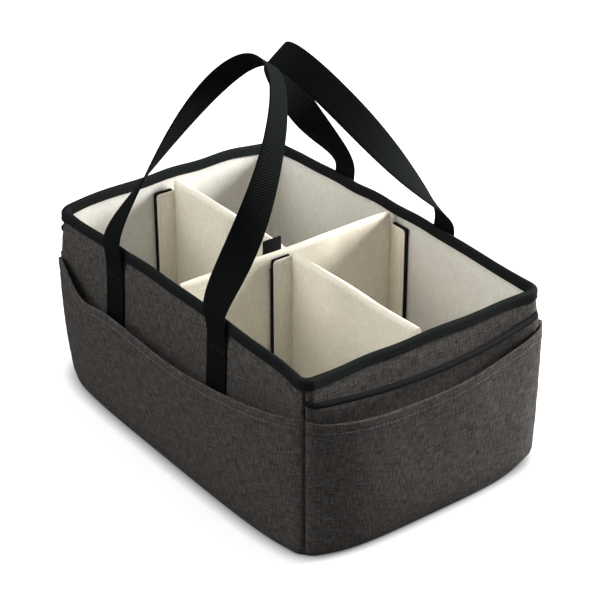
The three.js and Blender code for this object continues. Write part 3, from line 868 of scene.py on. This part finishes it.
def make_pocket(name, side, pocket):
    """A pocket: cloth sewn in at the corner seams and the foot, with a folded and stitched hem."""
    arc = stations(side)
    flat = np.ones_like(arc)
    mouth = mouth_height(side, arc, pocket)
    outer = CLEARANCE + POCKET_CLOTH
    angles = np.linspace(POCKET_FOOT_ROLL, 0, POCKET_ROLL_ROWS)[:-1]
    low = np.linspace(0, 1, POCKET_ROWS)
    high = np.linspace(0, 1, HEM_ROWS)[1:]
    rise = np.concatenate([FLOOR_RADIUS + low * (mouth - HEM_ZONE - FLOOR_RADIUS),
                           mouth - HEM_ZONE * (1 - high)], 1)
    swell = hem_swell(mouth - rise)
    fold = np.linspace(0, pi, FOLD_ROWS)[1:-1]
    lip = POCKET_CLOTH / 2 + HEM_SWELL
    outer_depth, outer_z = roll(angles, outer)
    inner_depth, inner_z = roll(angles[::-1], CLEARANCE)
    edge_z = mouth + lip * np.sin(fold)
    z = np.concatenate([outer_z * flat, rise, edge_z, rise[:, ::-1], inner_z * flat], 1)
    layer = np.concatenate([
        -outer_depth * flat,
        outer + swell,
        (outer + CLEARANCE) / 2 + lip * np.cos(fold) * flat,
        CLEARANCE - swell[:, ::-1],
        -inner_depth * flat,
    ], 1)
    cloth = loft(f"{name}_pocket_cloth", pocket_place(side, arc, z, layer, pocket), HEATHER)
    settle(cloth, "caddy", "shell_cloth", f"{name}_pocket")
    sewing = make_hem_stitches(name, side, pocket, outer)


def make_hem_stitches(name, side, pocket, layer):
    """The line of stitches along a pocket's hem."""
    line = np.linspace(-side.seam, side.seam, SEAM_SPOTS)
    height = mouth_height(side, line, pocket) - HEM_STITCH_DROP
    on = pocket_place(side, line, height, layer, pocket)
    off = pocket_place(side, line, height, layer + MM, pocket)
    sewing = stitches(f"{name}_pocket_stitches", on, off - on, GREY_THREAD)
    settle(sewing, "caddy", "shell_cloth")
    return sewing


def make_lining(name, side):
    """A wall's pale lining, from the base up into the binding, lightly dented."""
    arc = stations(side)
    rim = rim_height(side, arc) - LINING_DROP
    share = np.linspace(0, 1, LINING_ROWS)
    rise = LINING_FOOT + share * (rim - LINING_FOOT)
    z = np.concatenate([rise, rise[:, ::-1]], 1)
    loose = middleness(side, arc, FLAT_BOW) * np.sin(pi * np.concatenate([share, share[::-1]]))
    dent = LINING_DENT * loose * (1 + ripples(arc, z, *LINING_RIPPLES))
    depth = np.concatenate([0 * share + WALL, 0 * share + WALL - LINING]) - np.maximum(dent, 0)
    grid = place(side, arc, z, depth - pinch(side, arc, z))
    cloth = loft(f"{name}_lining_cloth", grid, LINING_CLOTH)
    settle(cloth, "caddy", "lining_cloth", f"{name}_lining")


def body_outline(depth, share):
    """Plan outline of the body at a depth inside the walls' outer faces, with a share of their swell."""
    runs = []
    for side in SIDES.values():
        arc = stations(side)[:-1, 0]
        runs.append(place(side, arc, 0.0, depth, share * side.puff * middleness(side, arc, FLAT_BOW)))
    return np.concatenate(runs)


def make_base_sheet(name, node, outline, dent, material, slot):
    """A sheet over the base: rings drawn in from an outline, the upper ones dented a little."""
    low, high = (corner[2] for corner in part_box(node))
    edge = len(BASE_RINGS)
    grid = np.array([outline * (1 - share) for share in (*BASE_RINGS, 0, *BASE_RINGS[::-1])])
    grid[:edge, :, 2] = low
    grid[edge, :, 2] = (low + high) / 2
    x, y = np.moveaxis(grid[edge + 1:, :, :2], -1, 0)
    grid[edge + 1:, :, 2] = high + dent * ripples(x, y, *BASE_RIPPLES)
    cloth = loft(name, grid, material)
    settle(cloth, "caddy", slot, node)


def make_binding():
    """Ribbed tape folded over the rim all round, a little wavy."""
    down = np.linspace(-BINDING_DROP, BINDING_SHOULDER, BINDING_ROWS)
    angles = np.linspace(pi, 0, BINDING_FOLD_ROWS)[1:-1]
    across = np.concatenate([0 * down - 1, np.cos(angles), 0 * down + 1])
    inside = WALL + BINDING_OUT - PINCH
    grids = []
    normals = []
    for side in SIDES.values():
        arc = stations(side)[:-1]
        outside = off_corner(side, arc) * PINCH - BINDING_OUT
        depths = []
        rises = []
        for inset, step in ((0, 1), (BINDING, -1)):
            high = BINDING_OUT - BINDING_SHOULDER - inset
            rise = np.concatenate([down, BINDING_SHOULDER + high * np.sin(angles), down[::-1]])
            depth = (outside + inside) / 2 + ((inside - outside) / 2 - inset) * across
            depths.append(depth[:, ::step])
            rises.append(rise[::step])
        spot = place(side, arc, RIM_HEIGHT, 0.0)
        lift = BINDING_LIFT * ripples(spot[..., 0], spot[..., 1], *LIFT_RIPPLES)
        lean = BINDING_LEAN * ripples(spot[..., 0], spot[..., 1], *LEAN_RIPPLES)
        z = rim_height(side, arc) + np.concatenate(rises) + lift
        depth = np.concatenate(depths, 1) + lean
        grids.append(place(side, arc, z, depth))
        normals.append(place(side, arc, z, depth - MM) - grids[-1])
    tape = loft("rim_binding_tape", np.concatenate(grids), RIM_TAPE, ring=True)
    settle(tape, "caddy", "binding", "rim_binding")
    path = np.concatenate([*grids, grids[0][:1]])[:, BINDING_STITCH_ROW]
    facing = np.concatenate([*normals, normals[0][:1]])[:, BINDING_STITCH_ROW]
    settle(stitches("rim_binding_stitches", path, facing, BLACK_THREAD), "caddy", "binding")


# Handles


def strap_sections(centres, widths):
    """Sections of a webbing strap along a row of centres, with round edges."""
    ahead = unit(np.gradient(centres, axis=0))
    widths = unit(widths - ahead * np.sum(widths * ahead, axis=1)[:, None])
    faces = np.cross(ahead, widths)
    reach = (STRAP_WIDTH - STRAP) / 2
    across = np.linspace(-reach, reach, STRAP_ROWS)
    edge = np.linspace(pi / 2, -pi / 2, STRAP_EDGE_ROWS)[1:-1]
    right = np.stack([reach + STRAP / 2 * np.cos(edge), STRAP / 2 * np.sin(edge)], 1)
    top = np.stack([across, 0 * across + STRAP / 2], 1)
    outline = np.concatenate([top, right, -top, -right])
    flat, thick = outline[None, :, :1], outline[None, :, 1:]
    return centres[:, None] + flat * widths[:, None] + thick * faces[:, None]


def leg_line(side, run, facing):
    """Centres up the outside of a wall and over the binding to the rim, and the strap's width there."""
    rim = rim_height(side, np.array(run))
    band = rim - BINDING_DROP
    z = np.concatenate([np.linspace(LEG_FOOT, band - LEG_STEP, LEG_ROWS), [band, rim]])
    over = np.concatenate([np.zeros(LEG_ROWS), [BINDING_OUT, BINDING_OUT]])
    arc = np.full_like(z, run)
    centres = place(side, arc, z, -(CLEARANCE + STRAP / 2) - over, wall_swell(side, arc, z))
    return np.concatenate([centres, np.tile(facing * side.along, (len(z), 1))], 1)


def arch_line(side, pivot, rise, outward, tall, run, sway, twists, overturn):
    """Centres of a free arch between two legs, and the strap's width there, which turns on edge."""
    share = np.linspace(0, 1, ARCH_ROWS)[:, None]
    turn = pi * share
    climb = tall * np.sin(turn)
    bulge = BEND_BULGE * climb / BEND_BULGE_AT * np.exp(1 - climb / BEND_BULGE_AT)
    swayed = np.array((sway, 0, 0)) * np.sin(turn)
    arch = pivot - side.along * run * np.cos(turn) + swayed + rise * climb + outward * bulge
    ends = np.minimum(share / twists[0], (1 - share) / twists[1])
    twist = pi / 2 * np.sin(pi / 2 * np.minimum(ends, 1))
    twist = twist + overturn * bell(share - OVERTURN_AT, OVERTURN_REACH)
    normal = unit(np.cross(outward, np.gradient(arch, axis=0)))
    return np.concatenate([arch, normal * np.cos(twist) - outward * np.sin(twist)], 1)


def make_tack(name, side, arc):
    """The line of stitches across a leg, a little below the binding."""
    across = arc + np.linspace(-1, 1, TACK_SPOTS) * (STRAP_WIDTH / 2 - TACK_MARGIN)
    z = np.full_like(across, rim_height(side, np.array(arc)) - TACK_DROP)
    on = place(side, across, z, -CLEARANCE - STRAP, wall_swell(side, across, z))
    normals = np.tile(side.out, (len(on), 1))
    settle(stitches(name, on, normals, TACK_THREAD), "caddy", "webbing")


def make_handle(name, side, run, shift, height, crown, sway, twists, overturn):
    """One strap: a sewn leg, a free arch that leans in over the opening and turns on edge, a sewn leg."""
    middle = shift * side.along[0]
    inward = side.reach + PIVOT_OUT - crown
    lean = math.atan2(inward, height)
    rise = UP * math.cos(lean) - side.out * math.sin(lean)
    outward = side.out * math.cos(lean) + UP * math.sin(lean)
    pivot = side.along * middle + side.out * (side.reach + PIVOT_OUT)
    pivot += UP * (rim_height(side, np.array(run)) + BINDING_OUT)
    tall = math.hypot(inward, height)
    line = np.concatenate([
        leg_line(side, middle - run, -1),
        arch_line(side, pivot, rise, outward, tall, run, sway, twists, overturn)[1:-1],
        leg_line(side, middle + run, 1)[::-1],
    ])
    line = eased(evenly(line, STRAP_STEP))
    strap = loft(f"{name}_handle_strap", strap_sections(line[:, :3], line[:, 3:]), WEBBING)
    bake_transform(strap)
    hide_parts(f"{name}_handle", f"{name}_handle_left_leg", f"{name}_handle_right_leg")
    for leg, arc in (("first", middle - run), ("second", middle + run)):
        make_tack(f"{name}_handle_{leg}_tack", side, arc)


# Dividers


def make_web(name, low, high, run):
    """A padded divider: cloth round a foam core, with a round top edge and pinched ends."""
    start = low[run] + COVER
    end = high[run] - COVER
    foot = low[2]
    top = high[2]
    half = DIVIDER / 2
    along = np.linspace(start, end, WEB_COLUMNS)[:, None]
    face = np.linspace(foot, top - half, WEB_ROWS)
    angles = np.linspace(0, pi, WEB_TOP_ROWS)[1:-1]
    side = np.concatenate([0 * face + half, half * np.cos(angles), 0 * face - half])
    z = np.concatenate([face, top - half + half * np.sin(angles), face[::-1]])
    pinched = 1 - WEB_PINCH * np.exp(-np.minimum(along - start, end - along) / WEB_PINCH_REACH)
    dent = WEB_DENT * (1 + ripples(along, z + FACE_SHIFT * side, *DENT_RIPPLES))
    sag = WEB_SAG * (ripples(along, 0 * along, *SAG_RIPPLES) - 1) * smooth((z - foot) / (top - foot))
    across = np.sign(side) * (np.abs(side) * pinched - np.minimum(dent, np.abs(side)))
    along, across, z = np.broadcast_arrays(along, across, z + sag)
    grid = np.stack((across, along, z) if run else (along, across, z), -1)
    web = loft(f"{name}_web", grid, DIVIDER_CLOTH)
    settle(web, name, "divider_cloth", f"{name}_cover", f"{name}_core")


def make_flap(name, body, low, high, thin, facing):
    """A divider's end flap, with a line of stitches just inside its edge on the face that shows."""
    flap = plate(name, low, high, FLAP_RADIUS, DIVIDER_CLOTH)
    settle(flap, body, "divider_cloth")
    wide = other_axes(thin)
    first = (low + FLAP_SEWING)[wide]
    last = (high - FLAP_SEWING)[wide]
    corners = [first, (last[0], first[1]), last, (first[0], last[1]), first]
    path = np.full((len(corners), 3), (high if facing > 0 else low)[thin])
    path[:, wide] = corners
    path = evenly(path, SEWING_STEP)
    normals = np.zeros_like(path)
    normals[:, thin] = facing
    settle(stitches(f"{name}_stitches", path, normals, CREAM_THREAD), body, "divider_cloth")


def make_dividers():
    """The cross divider along Y with its flaps turned to +X, and two half dividers turned to -Y."""
    for name in ("cross_divider", "right_divider", "left_divider"):
        low, high = (np.array(corner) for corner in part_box(f"{name}_cover"))
        run = 1 if name == "cross_divider" else 0
        make_web(name, low, high, run)
        for end, facing in (("start", 1), ("end", -1)):
            flap_low = low.copy()
            flap_high = high.copy()
            flap_high[2] -= FLAP_DROP
            if run == 0 and low[0] * facing > 0:
                flap_high[2] += INNER_FLAP_RISE
            if facing > 0:
                flap_high[run] = low[run] + COVER
            else:
                flap_low[run] = high[run] - COVER
            make_flap(f"{name}_{end}_flap", name, flap_low, flap_high, run, facing)


def make_tapes():
    """Hook and loop tape on the flaps, on the cross divider and on the walls."""
    tapes = {
        "caddy": [f"{name}_wall_loop" for name in SIDES],
        "cross_divider": [f"cross_divider_{end}" for end in
                          ("front_hook", "rear_hook", "right_loop", "left_loop")],
    }
    for name in ("right_divider", "left_divider"):
        tapes[name] = [f"{name}_inner_hook", f"{name}_outer_hook"]
    for body, nodes in tapes.items():
        for node in nodes:
            low, high = (np.array(corner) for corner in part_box(node))
            high[2] += TAPE_RISES.get(node, 0)
            settle(plate(f"{node}_tape", low, high, TAPE_RADIUS, HOOK), body, "tape", node)


# Stage: a white floor, soft lamps and a white surround


def camera_level(tree, seen, unseen):
    """A value that differs between what the camera sees and what lights the object."""
    path = tree.nodes.new("ShaderNodeLightPath")
    level = tree.nodes.new("ShaderNodeMapRange")
    tree.links.new(path.outputs["Is Camera Ray"], level.inputs["Value"])
    level.inputs["To Min"].default_value = unseen
    level.inputs["To Max"].default_value = seen
    return level.outputs[0]


def with_painted_shadow(tree, level, shadow_ao):
    """A value made smaller close to where the object stands, as a painted contact shadow."""
    product = tree.nodes.new("ShaderNodeMath")
    product.operation = "MULTIPLY"
    tree.links.new(level, product.inputs[0])
    tree.links.new(shadow_ao.outputs["AO"], product.inputs[1])
    return product.outputs[0]


def make_floor():
    """A white floor that keeps the object's shadow, with a painted contact shadow under the object."""
    mesh = bpy.data.meshes.new("floor")
    corners = [(x * FLOOR_REACH, y * FLOOR_REACH, 0) for x, y in ((-1, -1), (1, -1), (1, 1), (-1, 1))]
    mesh.from_pydata(corners, [], [(0, 1, 2, 3)])
    floor = add("floor", mesh)
    material = bpy.data.materials.new("white_floor")
    material.use_nodes = True
    tree = material.node_tree
    surface = tree.nodes["Principled BSDF"]
    surface.inputs["Roughness"].default_value = 1.0
    surface.inputs["Specular IOR Level"].default_value = 0.0
    surface.inputs["Emission Color"].default_value = WHITE
    # ambient occlusion darkens the floor's colour and glow near the object: painted contact shadow
    shadow_ao = tree.nodes.new("ShaderNodeAmbientOcclusion")
    shadow_ao.inputs["Distance"].default_value = PAINTED_SHADOW_REACH
    tone = with_painted_shadow(tree, camera_level(tree, FLOOR_SEEN, FLOOR_BOUNCE), shadow_ao)
    tree.links.new(tone, surface.inputs["Base Color"])
    glow = with_painted_shadow(tree, camera_level(tree, FLOOR_GLOW, 0.0), shadow_ao)
    tree.links.new(glow, surface.inputs["Emission Strength"])
    mesh.materials.append(material)


def make_surround():
    """White for the camera, softer light for the object."""
    world = bpy.data.worlds.new("surround")
    SCENE.world = world
    world.use_nodes = True
    background = world.node_tree.nodes["Background"]
    background.inputs["Color"].default_value = WHITE
    world.node_tree.links.new(camera_level(world.node_tree, 1.0, SURROUND), background.inputs["Strength"])


def make_lamps():
    for name, lamp in LAMPS.items():
        data = bpy.data.lights.new(name, "AREA")
        data.size = lamp["size"]
        data.energy = lamp["power"]
        light = add(name, data)
        light.location = lamp["at"]
        aim = LAMP_AIM - light.location
        light.rotation_euler = aim.to_track_quat("-Z", "Y").to_euler()


make_camera()
make_cords()
for side_name, wall in SIDES.items():
    make_wall(side_name, wall)
    make_pocket(side_name, wall, POCKETS[side_name])
    make_lining(side_name, wall)
make_base_sheet("base_lining_cloth", "base_lining", body_outline(WALL + CLEARANCE, 0), BASE_DENT,
                LINING_CLOTH, "lining_cloth")
make_base_sheet("base_outer_cloth", "base_cloth", body_outline(FLOOR_RADIUS + CLEARANCE, 1), 0,
                HEATHER, "shell_cloth")
make_binding()
for side_name, handle in HANDLES.items():
    make_handle(side_name, SIDES[side_name], **handle)
make_dividers()
make_tapes()
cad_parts["base_board"].data.materials.clear()
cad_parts["base_board"].data.materials.append(grey_board())
make_floor()
make_surround()
make_lamps()
SCENE.view_settings.view_transform = "Standard"
